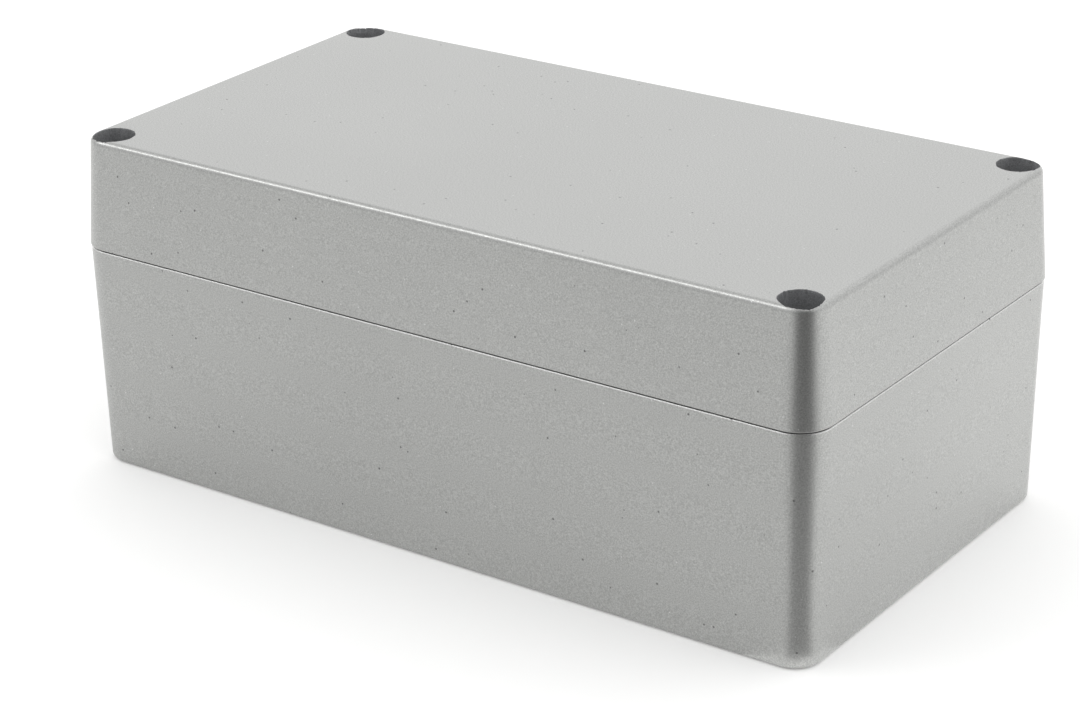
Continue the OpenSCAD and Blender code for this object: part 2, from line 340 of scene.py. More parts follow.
class Graph:
    """A small wrapper that adds and links the nodes of one material."""

    def __init__(self, name: str) -> None:
        """Start an empty material with its output and principled shader."""
        self.material = bpy.data.materials.new(name)
        self.material.use_nodes = True
        self.nodes = self.material.node_tree.nodes
        self.links = self.material.node_tree.links
        self.shader = self.nodes["Principled BSDF"]
        coordinates = self.nodes.new("ShaderNodeTexCoord")
        self.place = coordinates.outputs["Object"]

    def link(self, source: Socket, target: Socket) -> None:
        """Join an output to an input."""
        self.links.new(source, target)

    def vary(self, name: str, source: Socket) -> None:
        """Join an output to a named input of the shader."""
        self.link(source, self.shader.inputs[name])

    def fix(self, **values: "float | Sequence[float]") -> None:
        """Set the shader's own sockets, such as coat_weight for Coat Weight."""
        for name, value in values.items():
            self.shader.inputs[name.replace("_", " ").title()].default_value = value

    def noise(self, scale: float, detail: float = 2.0, rough: float = 0.5) -> Socket:
        """Soft noise from 0 to 1.

        Args:
            scale: Features are about 1/scale metres across.
            detail: Number of finer layers.
            rough: Strength of the finer layers.

        Returns:
            The noise.
        """
        node = self.nodes.new("ShaderNodeTexNoise")
        node.inputs["Scale"].default_value = scale
        node.inputs["Detail"].default_value = detail
        node.inputs["Roughness"].default_value = rough
        self.link(self.place, node.inputs["Vector"])
        return node.outputs["Fac"]

    def spots(self, scale: float, radius: float) -> Socket:
        """Sparse round spots.

        Args:
            scale: Spots per metre, about.
            radius: Radius of a spot in metres.

        Returns:
            1 out to half the radius, falling to 0 at the radius.
        """
        node = self.nodes.new("ShaderNodeTexVoronoi")
        node.inputs["Scale"].default_value = scale
        self.link(self.place, node.inputs["Vector"])
        return self.span(node.outputs["Distance"], (0.5 * radius * scale, radius * scale), (1.0, 0.0))

    def span(self, source: Socket, old: tuple[float, float], new: tuple[float, float]) -> Socket:
        """Map one range of values to another, with a soft start and end.

        Args:
            source: The value.
            old: Ends of its range.
            new: What they become.

        Returns:
            The mapped value.
        """
        node = self.nodes.new("ShaderNodeMapRange")
        node.interpolation_type = "SMOOTHSTEP"
        self.link(source, node.inputs["Value"])
        for name, value in zip(("From Min", "From Max", "To Min", "To Max"), (*old, *new)):
            node.inputs[name].default_value = value
        return node.outputs["Result"]

    def maths(self, how: str, a: Socket, b: "Socket | float") -> Socket:
        """Combine two values.

        Args:
            how: Name of the operation, such as MULTIPLY or ADD.
            a: First value.
            b: Second value, linked or fixed.

        Returns:
            The result.
        """
        node = self.nodes.new("ShaderNodeMath")
        node.operation = how
        self.link(a, node.inputs[0])
        if isinstance(b, (int, float)):
            node.inputs[1].default_value = b
        else:
            self.link(b, node.inputs[1])
        return node.outputs[0]

    def tinted(self, colour: Sequence[float], factor: Socket) -> Socket:
        """A colour made darker or lighter by a factor that varies about 1."""
        node = self.nodes.new("ShaderNodeVectorMath")
        node.operation = "SCALE"
        node.inputs[0].default_value = colour
        self.link(factor, node.inputs["Scale"])
        return node.outputs["Vector"]

    def blended(self, factor: Socket, a: Socket, b: Sequence[float]) -> Socket:
        """Go from colour a to the fixed colour b as the factor goes from 0 to 1."""
        node = self.nodes.new("ShaderNodeMix")
        node.data_type = "RGBA"
        self.link(factor, node.inputs["Factor"])
        self.link(a, node.inputs["A"])
        node.inputs["B"].default_value = (*b, 1.0)
        return node.outputs["Result"]

    def bump(self, height: Socket, distance: float, under: "Socket | None" = None) -> Socket:
        """Raise the surface by height times distance, in metres."""
        node = self.nodes.new("ShaderNodeBump")
        node.inputs["Strength"].default_value = 1.0
        node.inputs["Distance"].default_value = distance
        self.link(height, node.inputs["Height"])
        if under is not None:
            self.link(under, node.inputs["Normal"])
        return node.outputs["Normal"]


@dataclass(frozen=True)
class Paint:
    """Satin silver-grey stoved paint: metal flake, faint orange peel and a few dust nibs."""

    name: str
    colour: tuple[float, float, float]
    roughness: float = 0.37
    metallic: float = 0.9
    flake: float = 0.26
    peel: float = 1.2e-5
    specks: float = 0.8
    lacquer: float = 0.5

    def material(self) -> Material:
        """Build the paint.

        Returns:
            The material.
        """
        g = Graph(self.name)
        flake = g.noise(2900.0, 3.0, 0.8)
        cloud = g.noise(16.0, 3.0)
        shade_of = g.maths("MULTIPLY", g.span(flake, (0.25, 0.75), (1 - self.flake, 1 + self.flake)),
                           g.span(cloud, (0.25, 0.75), (0.985, 1.015)))
        colour = g.tinted(self.colour, shade_of)
        dark = g.maths("MULTIPLY", g.spots(180.0, 0.00038), self.specks)
        light = g.maths("MULTIPLY", g.spots(230.0, 0.00024), self.specks)
        colour = g.blended(dark, colour, (0.12, 0.12, 0.12))
        g.vary("Base Color", g.blended(light, colour, (0.85, 0.85, 0.85)))
        g.vary("Roughness", g.span(flake, (0.2, 0.8), (self.roughness + 0.05, self.roughness - 0.05)))
        g.fix(metallic=self.metallic, coat_weight=self.lacquer, coat_roughness=0.18)
        peel = g.bump(g.noise(1500.0, 2.0, 0.6), self.peel)
        g.vary("Normal", g.bump(g.maths("ADD", dark, light), 3e-5, peel))
        return g.material


@dataclass(frozen=True)
class BareCasting:
    """Unpainted cast alloy with the fine grain of the die, its colour darkened as painted shade for the
    bores and holes.
    """

    name: str = "bare_casting_painted_shade"
    colour: tuple[float, float, float] = (0.13, 0.13, 0.135)
    roughness: float = 0.5

    def material(self) -> Material:
        """Build the bare metal."""
        g = Graph(self.name)
        grain = g.noise(1500.0, 4.0, 0.6)
        g.vary("Base Color", g.tinted(self.colour, g.span(grain, (0.25, 0.75), (0.8, 1.25))))
        g.vary("Roughness", g.span(grain, (0.2, 0.8), (self.roughness - 0.1, self.roughness + 0.1)))
        g.fix(metallic=0.6)
        g.vary("Normal", g.bump(grain, 2e-5))
        return g.material


@dataclass(frozen=True)
class Rubber:
    """Black cellular rubber of the seal."""

    name: str = "black_rubber"
    colour: tuple[float, float, float] = (0.022, 0.022, 0.024)

    def material(self) -> Material:
        """Build the rubber."""
        g = Graph(self.name)
        skin = g.noise(2200.0, 3.0)
        g.vary("Base Color", g.tinted(self.colour, g.span(skin, (0.2, 0.8), (0.8, 1.3))))
        g.vary("Roughness", g.span(skin, (0.2, 0.8), (0.6, 0.8)))
        g.vary("Normal", g.bump(skin, 3e-5))
        return g.material


@dataclass(frozen=True)
class Steel:
    """Bright steel with faint turning marks, as on the screws."""

    name: str
    colour: tuple[float, float, float]
    roughness: float

    def material(self) -> Material:
        """Build the steel."""
        g = Graph(self.name)
        marks = g.noise(3200.0, 2.0)
        stain = g.noise(260.0, 3.0)
        g.vary("Base Color", g.tinted(self.colour, g.span(stain, (0.25, 0.75), (0.88, 1.06))))
        g.vary("Roughness", g.span(marks, (0.2, 0.8), (self.roughness - 0.08, self.roughness + 0.1)))
        g.fix(metallic=1.0)
        g.vary("Normal", g.bump(marks, 4e-6))
        return g.material


@dataclass(frozen=True)
class Polyamide:
    """Natural polyamide of the retaining washers."""

    name: str = "natural_polyamide"
    colour: tuple[float, float, float] = (0.74, 0.72, 0.64)

    def material(self) -> Material:
        """Build the plastic."""
        g = Graph(self.name)
        skin = g.noise(900.0, 2.0)
        g.vary("Base Color", g.tinted(self.colour, g.span(skin, (0.2, 0.8), (0.95, 1.03))))
        g.vary("Roughness", g.span(skin, (0.2, 0.8), (0.38, 0.5)))
        g.fix(subsurface_weight=0.1, subsurface_scale=0.001)
        g.vary("Normal", g.bump(skin, 8e-6))
        return g.material


def finish(kind: "Paint | BareCasting | Rubber | Steel | Polyamide") -> Material:
    """A dataclass field that builds a finish's material."""
    return field(default_factory=kind.material)


@dataclass
class Palette:
    """The finishes of the whole box, built once and shared by its pieces."""

    outside: Material = finish(Paint("grey_paint", (0.535, 0.54, 0.528)))
    inside: Material = finish(
        Paint("grey_paint_inside", (0.44, 0.445, 0.435), 0.52, 0.8, peel=1.8e-5, lacquer=0.2))
    wells: Material = finish(
        Paint("thin_paint_in_wells", (0.52, 0.525, 0.535), 0.55, 1.0, 0.3, 4e-5, lacquer=0.0))
    # painted shade: dark grey on the rim faces inside the parting gap, so the gap shows as a dark line
    painted_shade_rims: Material = finish(Paint("shaded_rims", (0.2, 0.2, 0.2), 0.6, 0.5, lacquer=0.0))
    # painted highlight: near-white on the base's upper edge fillet, the light line under the parting gap
    edges: Material = finish(Paint("painted_highlight_edge", (0.86, 0.86, 0.85), 0.36, 0.95, lacquer=0.0))
    # partly painted shade: bare metal grain in a colour darkened for the bores and holes
    bare: Material = finish(BareCasting())
    rubber: Material = finish(Rubber())
    stainless: Material = finish(Steel("stainless_steel", (0.58, 0.58, 0.57), 0.28))
    zinc: Material = finish(Steel("zinc_plate", (0.60, 0.59, 0.55), 0.36))
    polyamide: Material = finish(Polyamide())


# ---- Castings -----------------------------------------------------------------------------

CORNERS = {"front_left": (-1, -1), "front_right": (1, -1), "rear_left": (-1, 1), "rear_right": (1, 1)}


def at_corners(x: float, y: float, make: Callable[[str], Solid]) -> list[Solid]:
    """Make one solid for each corner and put it at (x, y) there."""
    return [moved(make(name), sx * x, sy * y, 0) for name, (sx, sy) in CORNERS.items()]


def cone(name: str, low: float, high: float, r_low: float, r_high: float, steps: int = 48) -> Solid:
    """A round or tapered cutter about the Z axis."""
    return lofted(name, turned_rings([(r_low, low), (r_high, high)], steps))


def cones(name: str, x: float, y: float, low: float, high: float, r_low: float, r_high: float,
          steps: int = 48) -> list[Solid]:
    """A round or tapered cutter in each corner, at (x, y) there."""
    return at_corners(x, y, lambda corner: cone(name + corner, low, high, r_low, r_high, steps))


def rounded_band(inner: float, out: float, height: float, soft: float) -> Points:
    """Section of a flat ring with rounded edges, as pairs of radius and height."""
    return [(inner, soft), (inner + soft, 0), (out - soft, 0), (out, soft), (out, height - soft),
            (out - soft, height), (inner + soft, height), (inner, height - soft)]


@dataclass
class Casting:
    """What the base and the lid have in common: where they meet, and what stands in the corners."""

    palette: Palette
    half_x: float = 110 * MM
    half_y: float = 60 * MM
    corner_r: float = 8.8 * MM
    overhang: float = 0.25 * MM
    rim_z: float = 60.5 * MM
    rim_gap: float = 0.3 * MM
    top_z: float = 90 * MM
    edge_fillet: float = 1.7 * MM
    rim_edge_r: float = 0.4 * MM
    rim_w: float = 3.8 * MM
    core_draft: float = 1.1 * MM
    core_fillet: float = 3 * MM
    core_corner_r: float = 5 * MM
    block_r: float = 6 * MM
    screw_x: float = 101.5 * MM
    screw_y: float = 52 * MM
    mount_x: float = 102 * MM
    mount_y: float = 41 * MM
    mount_well_r: float = 5.7 * MM
    seal_in: float = 1.7 * MM
    earth_x: float = -88 * MM
    earth_pad: float = 15 * MM
    earth_pad_h: float = 6 * MM
    earth_pad_r: float = 1.5 * MM
    earth_bore_r: float = 2.55 * MM
    over: float = 2 * MM

    def cavity_outline(self) -> CrossOutline:
        """The cavity's outline at the rim, the same in both castings."""
        wall = self.overhang + self.rim_w
        clear = self.mount_well_r + self.rim_w
        return CrossOutline(self.half_x - wall, self.half_y - wall, self.mount_x - clear,
                            self.mount_y - clear, self.core_corner_r, self.block_r)

    def rim_ring(self, name: str, width: float, low: float, high: float) -> Solid:
        """An upright ring that follows the rim, inside the screws and mounting wells.

        Args:
            name: Name of the new object.
            width: Width of the ring.
            low: Lower face.
            high: Upper face.

        Returns:
            The ring.
        """
        outline = self.cavity_outline()
        section = [(-self.seal_in - side * width / 2, z)
                   for side, z in ((-1, low), (1, low), (1, high), (-1, high))]
        return lofted(name, rings_of(outline, section), closed_path=True)

    def pad(self, name: str, low: float, high: float) -> Solid:
        """The square pad of an earth terminal."""
        half = self.earth_pad / 2
        rings = rings_of(RoundedRect(half, half, self.earth_pad_r, 5), [(0, low), (0, high)])
        return moved(lofted(name, rings), self.earth_x, 0, 0)


@dataclass
class Lid(Casting):
    """The lid casting, with its screw wells, seal groove and hollow underside."""

    draft: float = 2 * MM
    top_t: float = 3.4 * MM
    well_r: float = 5.35 * MM
    well_floor_r: float = 5.2 * MM
    well_floor_z: float = 73 * MM
    web_t: float = 3.3 * MM
    clearance_r: float = 3.3 * MM
    groove_w: float = 1.8 * MM
    groove_h: float = 3 * MM
    pad_r: float = 6.6 * MM
    coring_r: tuple[float, float] = (4.4 * MM, 4 * MM)
    coring_top_z: float = 84 * MM
    coring_y: float = 39.8 * MM
    rim_round: float = 0.2 * MM
    nick: float = 0.1 * MM
    crumble: float = 0.3 * MM
    crumble_deg: float = 32
    chips: int = 9
    well_steps: int = 132
    earth_web: float = 0.4 * MM

    def well(self, corner: str) -> Solid:
        """A screw well's cutter, with the small nicks that the trim tool leaves round its rim.

        Args:
            corner: Which corner; it seeds the nicks.

        Returns:
            The cutter about the Z axis.
        """
        steps = self.well_steps
        draw = Random(corner)
        rough = [draw.uniform(-1, 1) for _ in range(steps)]
        chips = {draw.randrange(steps): draw.uniform(1.5, 3.0) for _ in range(self.chips)}
        outer = math.atan2(CORNERS[corner][1], CORNERS[corner][0])
        ragged = []
        for i in range(steps):
            off = abs((2 * math.pi * i / steps - outer + math.pi) % (2 * math.pi) - math.pi)
            thin = max(0.0, 1 - off / math.radians(self.crumble_deg))
            wave = 0.5 * rough[i] + 0.3 * rough[i - 1] + 0.2 * rough[(i + 1) % steps]
            ragged.append(wave + chips.get(i, 0.0) + thin * (1.0 + 0.6 * wave) * self.crumble / self.nick)
        depth = self.top_z - self.well_floor_z
        rings = []
        for below in (depth, 2.2 * MM, 1.5 * MM, 0.7 * MM, -self.over):
            r = self.well_r - (self.well_r - self.well_floor_r) * below / depth
            amount = self.nick if below < 1 * MM else self.nick * max(0.0, 1.9 * MM - below) / MM
            ring = turned_rings([(r, self.top_z - below)], steps)[0]
            rings.append([Vector((p.x * (1 + amount * k / r), p.y * (1 + amount * k / r), p.z))
                          for p, k in zip(ring, ragged)])
        return coated(lofted("well_" + corner, rings), self.palette.wells)

    def build(self) -> Solid:
        """Build the lid.

        Returns:
            The finished solid.
        """
        low = self.rim_z + self.rim_gap
        wall = Wall(low, self.top_z, 0, self.draft, self.rim_edge_r, self.edge_fillet)
        lid = lofted("lid_casting", rings_of(RoundedRect(self.half_x, self.half_y, self.corner_r),
                                             wall.section(8)))
        coated(lid, self.palette.outside)
        # painted shade: the lid's lower face, at the parting gap, takes the dark rim grey
        recoat(lid, self.palette.painted_shade_rims, lambda face: face.normal.z < -0.99)
        changed(lid, at_corners(self.screw_x, self.screw_y, self.well), Cut.REMOVE)
        soften(lid, lambda e: {e.link_faces[0].material_index, e.link_faces[1].material_index} == {0, 2},
               self.rim_round, 2)
        self.hollow(lid, low)
        self.drill(lid, low)
        shade(lid)
        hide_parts("lid")
        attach(lid, "lid")
        return lid

    def hollow(self, lid: Solid, low: float) -> None:
        """Cut the cavity and the seal groove, and add the earth pad under the ceiling.

        Args:
            lid: The solid so far.
            low: The lid's lower edge.
        """
        ceiling = self.top_z - self.top_t
        core = Wall(low - self.over, ceiling, 0, self.core_draft, 0, self.core_fillet)
        cavity = lofted("lid_cavity", rings_of(self.cavity_outline(), core.section(6)))
        groove = self.rim_ring("lid_groove", self.groove_w, low - self.over, low + self.groove_h)
        changed(lid, [coated(cavity, self.palette.inside), coated(groove, self.palette.inside)], Cut.REMOVE)
        pads = [self.pad("lid_pad", ceiling - self.earth_pad_h, ceiling + MM)]
        pads += cones("stop_", self.screw_x, self.screw_y, self.rim_z, low + MM, self.pad_r, self.pad_r)
        changed(lid, [coated(pad, self.palette.inside) for pad in pads], Cut.ADD)

    def drill(self, lid: Solid, low: float) -> None:
        """Cut the screw holes, the washers' recesses, the coring pockets and the earth screw's hole.

        Args:
            lid: The solid so far.
            low: The lid's lower edge.
        """
        web_low = self.well_floor_z - self.web_t
        cutters = cones("recess_", self.screw_x, self.screw_y, self.rim_z - self.over, web_low,
                        self.well_floor_r, self.well_floor_r)
        cutters += cones("hole_", self.screw_x, self.screw_y, web_low - MM, self.well_floor_z + MM,
                         self.clearance_r, self.clearance_r)
        cutters += cones("coring_", self.mount_x, self.coring_y, low - self.over, self.coring_top_z,
                         *self.coring_r)
        ceiling = self.top_z - self.top_t
        bore = cone("lid_earth_bore", ceiling - self.earth_pad_h - MM, ceiling - self.earth_web,
                    self.earth_bore_r, self.earth_bore_r)
        cutters.append(moved(bore, self.earth_x, 0, 0))
        # partly painted shade: the holes' walls take the darkened bare metal
        changed(lid, [coated(cutter, self.palette.bare) for cutter in cutters], Cut.REMOVE)


@dataclass
class Base(Casting):
    """The base casting, with its corner blocks, mounting wells, tongue, bosses and earth pad."""

    draft: float = 1.4 * MM
    floor_t: float = 3.6 * MM
    tongue_w: float = 1.2 * MM
    tongue_h: float = 1.6 * MM
    tapped_r: float = 3.05 * MM
    tapped_d: float = 14 * MM
    mount_r: float = 3.3 * MM
    mount_floor_r: float = 5.3 * MM
    mount_floor_z: float = 6 * MM
    boss_x: float = 78 * MM
    boss_y: float = 38 * MM
    boss_r: float = 4.2 * MM
    boss_flare: float = 0.6 * MM
    boss_h: float = 5 * MM
    boss_hole_r: float = 2 * MM
    boss_edge: float = 0.3 * MM
    tongue_round: float = 0.25 * MM
    countersink: float = 0.4 * MM
    earth_bore_d: float = 5.6 * MM

    def build(self) -> Solid:
        """Build the base.

        Returns:
            The finished solid.
        """
        wall = Wall(0, self.rim_z, self.draft, 0, self.edge_fillet, self.rim_edge_r)
        outline = RoundedRect(self.half_x - self.overhang, self.half_y - self.overhang,
                              self.corner_r - self.overhang)
        base = coated(lofted("base_casting", rings_of(outline, wall.section(8))), self.palette.outside)
        # painted shade: the base's rim top, at the parting gap, takes the dark rim grey
        recoat(base, self.palette.painted_shade_rims, lambda face: face.normal.z > 0.99)
        # painted highlight: near-white on the fillet along the base's upper edge, just below the parting gap
        recoat(base, self.palette.edges,
               lambda face: face.center.z > self.rim_z - self.rim_edge_r and 0.15 < face.normal.z < 0.99)
        core = Wall(self.floor_t, self.rim_z + self.over, self.core_draft, 0, self.core_fillet, 0)
        cavity = lofted("base_cavity", rings_of(self.cavity_outline(), core.section(6)))
        changed(base, [coated(cavity, self.palette.inside)], Cut.REMOVE)
        tongue = self.rim_ring("base_tongue", self.tongue_w, self.rim_z - MM, self.rim_z + self.tongue_h)
        soften(tongue, lambda e: all(v.co.z > self.rim_z for v in e.verts)
               and e.calc_face_angle(0.0) > 1.0, self.tongue_round, 2)
        floor_in = self.floor_t - MM
        boss = [(self.boss_r + self.boss_flare, floor_in), (self.boss_r + self.boss_flare, self.floor_t),
                (self.boss_r, self.floor_t + self.boss_h - self.boss_edge),
                (self.boss_r - self.boss_edge, self.floor_t + self.boss_h)]
        stands = [tongue, self.pad("base_pad", floor_in, self.floor_t + self.earth_pad_h)]
        stands += at_corners(self.boss_x, self.boss_y,
                             lambda corner: lofted("boss_" + corner, turned_rings(boss, 48)))
        changed(base, [coated(stand, self.palette.inside) for stand in stands], Cut.ADD)
        # partly painted shade: the holes' walls take the darkened bare metal
        changed(base, [coated(cutter, self.palette.bare) for cutter in self.cutters()], Cut.REMOVE)
        shade(base)
        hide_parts("base")
        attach(base, "base")
        return base

    def cutters(self) -> list[Solid]:
        """The cutters of every hole in the base.

        Returns:
            Tapped holes, mounting wells and holes, boss holes and the earth screw's hole.
        """
        rim, over, countersink = self.rim_z, self.over, self.countersink
        tapped = [(self.tapped_r, rim - self.tapped_d), (self.tapped_r, rim - countersink),
                  (self.tapped_r + countersink, rim), (self.tapped_r + countersink, rim + over)]
        made = at_corners(self.screw_x, self.screw_y,
                          lambda corner: lofted("tapped_" + corner, turned_rings(tapped, 48)))
        made += cones("mount_well_", self.mount_x, self.mount_y, self.mount_floor_z, rim + over,
                      self.mount_floor_r, self.mount_well_r, 64)
        made += cones("mount_hole_", self.mount_x, self.mount_y, -over, self.mount_floor_z + over,
                      self.mount_r, self.mount_r)
        made += cones("boss_hole_", self.boss_x, self.boss_y, self.floor_t,
                      self.floor_t + self.boss_h + over, self.boss_hole_r, self.boss_hole_r, 32)
        pad_top = self.floor_t + self.earth_pad_h
        bore = cone("base_earth_bore", pad_top - self.earth_bore_d, pad_top + over,
                    self.earth_bore_r, self.earth_bore_r)
        made.append(moved(bore, self.earth_x, 0, 0))
        return made


@dataclass
class Seal(Casting):
    """The rubber strip in the lid's groove, pressed in by the tongue."""

    width: float = 1.8 * MM
    low: float = 62.1 * MM
    high: float = 63.8 * MM
    dent: float = 0.05 * MM
    soft: float = 0.3 * MM

    def build(self) -> Solid:
        """Build the seal with rounded lower edges and the tongue's shallow track.

        Returns:
            The finished strip.
        """
        half, soft = self.width / 2, self.soft
        section = [(-half, self.high), (-half, self.low + soft),
                   (-half + 0.4 * soft, self.low + 0.3 * soft),
                   (-half + soft, self.low), (-0.5 * half, self.low + self.dent),
                   (0.5 * half, self.low + self.dent), (half - soft, self.low),
                   (half - 0.4 * soft, self.low + 0.3 * soft), (half, self.low + soft), (half, self.high)]
        rings = rings_of(self.cavity_outline(), [(-self.seal_in - x, z) for x, z in section])
        seal = coated(lofted("seal_strip", rings, closed_path=True), self.palette.rubber)
        shade(seal, 50)
        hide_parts("gasket")
        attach(seal, "lid")
        return seal


# ---- Screws and terminals -----------------------------------------------------------------


@dataclass
class SlottedScrew:
    """A slotted cheese head screw with a rolled thread; its head's underside is at z = 0."""

    name: str
    material: Material
    head_r: float
    head_h: float
    shank_r: float
    length: float
    pitch: float
    slot_w: float
    slot_d: float
    plain: float = 1.2 * MM
    head_round: float = 0.6 * MM
    head_edge: float = 0.15 * MM
    around: int = 40

    def thread_radius(self, angle: float, z: float) -> float:
        """Radius of the threaded shank.

        Args:
            angle: Angle about the screw's axis, in radians.
            z: Height, negative below the head.

        Returns:
            The radius there.
        """
        depth = 0.6 * self.pitch
        phase = (z / self.pitch - angle / (2 * math.pi)) % 1.0
        crest = min(1.0, max(0.0, 2.4 * (1 - abs(2 * phase - 1)) - 0.55))
        tip = z + self.length
        limit = self.shank_r - max(0.0, 0.8 * MM - tip)
        fade = min(1.0, max(0.0, (-self.plain - z) / self.pitch))
        return min(limit, self.shank_r - depth * (1 - crest) * fade)

    def build(self) -> Solid:
        """Build the screw.

        Returns:
            The screw, point down, with its mesh about the Z axis.
        """
        around = self.around
        levels = int(self.length / (self.pitch / 9))
        rings = [turned_rings([(self.shank_r * 0.35, -self.length)], around)[0]]
        for i in range(levels + 1):
            z = -self.length + self.length * i / levels
            if z > -0.05 * MM:
                z = 0.0
            ring = []
            for k in range(around):
                a = 2 * math.pi * k / around
                r = self.thread_radius(a, z)
                ring.append(Vector((r * math.cos(a), r * math.sin(a), z)))
            rings.append(ring)
        r, h, soft = self.head_r, self.head_h, self.head_round
        head = [(r - self.head_edge, 0), (r, self.head_edge)]
        head += fillet(r - soft, h - soft, soft, 0, math.pi / 2, 5)
        rings += turned_rings(head, around)
        screw = coated(lofted(self.name, rings), self.material)
        slot = boxed("slot", (-r - MM, -self.slot_w / 2, h - self.slot_d),
                     (r + MM, self.slot_w / 2, h + MM))
        changed(screw, [coated(slot, self.material)], Cut.REMOVE)
        shade(screw, 40)
        return screw


@dataclass
class LidScrews:
    """The four captive lid screws and the washers that keep them in the lid."""

    palette: Palette
    x: float = 101.5 * MM
    y: float = 52 * MM
    seat_z: float = 73 * MM
    washer_z: float = 60.9 * MM
    washer_r: float = 4.8 * MM
    washer_in_r: float = 3.03 * MM
    washer_t: float = 1.2 * MM
    washer_soft: float = 0.25 * MM
    first_slot_deg: float = 20
    next_slot_deg: float = 67

    def washer(self, corner: str) -> Solid:
        """A retaining washer with rounded edges.

        Args:
            corner: Which corner it belongs to.

        Returns:
            The washer about the Z axis.
        """
        section = rounded_band(self.washer_in_r, self.washer_r, self.washer_t, self.washer_soft)
        washer = lofted("washer_" + corner, turned_rings(section, 56), closed_path=True)
        return coated(washer, self.palette.polyamide)

    def build(self) -> None:
        """Build and place every screw and washer."""
        for number, (corner, (sx, sy)) in enumerate(CORNERS.items()):
            screw = SlottedScrew("screw_" + corner, self.palette.stainless, head_r=5 * MM,
                                 head_h=3.9 * MM, shank_r=3 * MM, length=20 * MM, pitch=1 * MM,
                                 slot_w=1.6 * MM, slot_d=2 * MM).build()
            slot_deg = self.first_slot_deg + self.next_slot_deg * number
            screw.data.transform(Matrix.Rotation(math.radians(slot_deg), 4, "Z"))
            moved(screw, sx * self.x, sy * self.y, self.seat_z)
            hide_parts("lid_screw_" + corner)
            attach(screw, "screw_" + corner)
            washer = moved(self.washer(corner), sx * self.x, sy * self.y, self.washer_z)
            shade(washer, 50)
            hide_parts("retaining_washer_" + corner)
            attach(washer, "washer_" + corner)
            LOG.info("lid screw and washer: %s", corner)


class Side(Enum):
    """Which casting an earth terminal belongs to."""

    BASE = "base"
    LID = "lid"


@dataclass
class EarthTerminal:
    """A screw, a split spring washer and a clamp plate on an earth pad."""

    palette: Palette
    side: Side
    x: float = -88 * MM
    clamp_w: float = 10.5 * MM
    clamp_t: float = 1.2 * MM
    lip: float = 1 * MM
    spring_t: float = 1.2 * MM
    spring_r: float = 4.4 * MM
    spring_soft: float = 0.12 * MM
    split_deg: float = 11
    plate_round: float = 0.18 * MM
    slot_deg: float = 35
    hole_r: float = 2.65 * MM

    def place(self, piece: Solid, height: float) -> Solid:
        """Put a piece at a height above the pad, upside down in the lid.

        Args:
            piece: A piece about the Z axis, modelled upright.
            height: Height of its underside above the pad.

        Returns:
            The piece.
        """
        pad_z = (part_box("base_earth_clamp")[0].z if self.side is Side.BASE
                 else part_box("lid_earth_clamp")[1].z)
        if self.side is Side.LID:
            piece.data.transform(Matrix.Rotation(math.pi, 4, "X"))
            height = -height
        return moved(piece, self.x, 0, pad_z + height)

    def clamp(self) -> Solid:
        """The clamp plate with its two turned-down lips."""
        half, top = self.clamp_w / 2, self.lip + self.clamp_t
        plate = boxed(self.side.value + "_clamp", (-half, -half, 0), (half, half, top))
        hollow = boxed("hollow", (-half - MM, -half + self.clamp_t, -MM),
                       (half + MM, half - self.clamp_t, self.lip))
        hole = cone("hole", -MM, top + MM, self.hole_r, self.hole_r)
        changed(plate, [hollow, hole], Cut.REMOVE)
        soften(plate, lambda e: e.calc_face_angle(0.0) > 1.0, self.plate_round, 3)
        shade(plate, 45)
        return coated(plate, self.palette.zinc)

    def spring(self) -> Solid:
        """The split spring washer, pressed almost flat."""
        steps, gap = 60, math.radians(self.split_deg)
        rings = []
        section = rounded_band(self.hole_r, self.spring_r, self.spring_t, self.spring_soft)
        for i in range(steps + 1):
            a = gap / 2 + (2 * math.pi - gap) * i / steps
            rings.append([Vector((r * math.cos(a), r * math.sin(a), z)) for r, z in section])
        ring = lofted(self.side.value + "_spring", rings)
        shade(ring, 50)
        return coated(ring, self.palette.stainless)

    def build(self) -> None:
        """Build and place the terminal's three pieces."""
        side, clamp_body = self.side.value, self.side.value + "_terminal_clamp"
        screw = SlottedScrew(side + "_earth_screw_dressed", self.palette.stainless, head_r=4.5 * MM,
                             head_h=3 * MM, shank_r=2.5 * MM, length=9 * MM, pitch=0.8 * MM,
                             slot_w=1.2 * MM, slot_d=1.5 * MM).build()
        screw.data.transform(Matrix.Rotation(math.radians(self.slot_deg), 4, "Z"))
        stack = self.lip + self.clamp_t
        for piece, height, node, body, slot in (
            (self.clamp(), 0.0, "_earth_clamp", clamp_body, "clamps"),
            (self.spring(), stack, "_earth_spring_washer", clamp_body, "screws"),
            (screw, stack + self.spring_t, "_earth_screw", side + "_terminal_screw", "screws"),
        ):
            self.place(piece, height)
            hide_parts(side + node)
            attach(piece, body)
            LOG.info("%s%s", side, node)


# ---- Studio -------------------------------------------------------------------------------


def looking(nodes: bpy.types.Nodes, links: bpy.types.NodeLinks) -> Socket:
    """Tell the rays that look at something from those that only light it.

    Args:
        nodes: The nodes of a material or world.
        links: Its links.

    Returns:
        1 for camera, glossy and transmission rays, and 0 for the others.
    """
    path = nodes.new("ShaderNodeLightPath")
    seen = path.outputs["Is Camera Ray"]
    for kind in ("Is Glossy Ray", "Is Transmission Ray"):
        either = nodes.new("ShaderNodeMath")
        either.operation = "MAXIMUM"
        links.new(seen, either.inputs[0])
        links.new(path.outputs[kind], either.inputs[1])
        seen = either.outputs[0]
    return seen


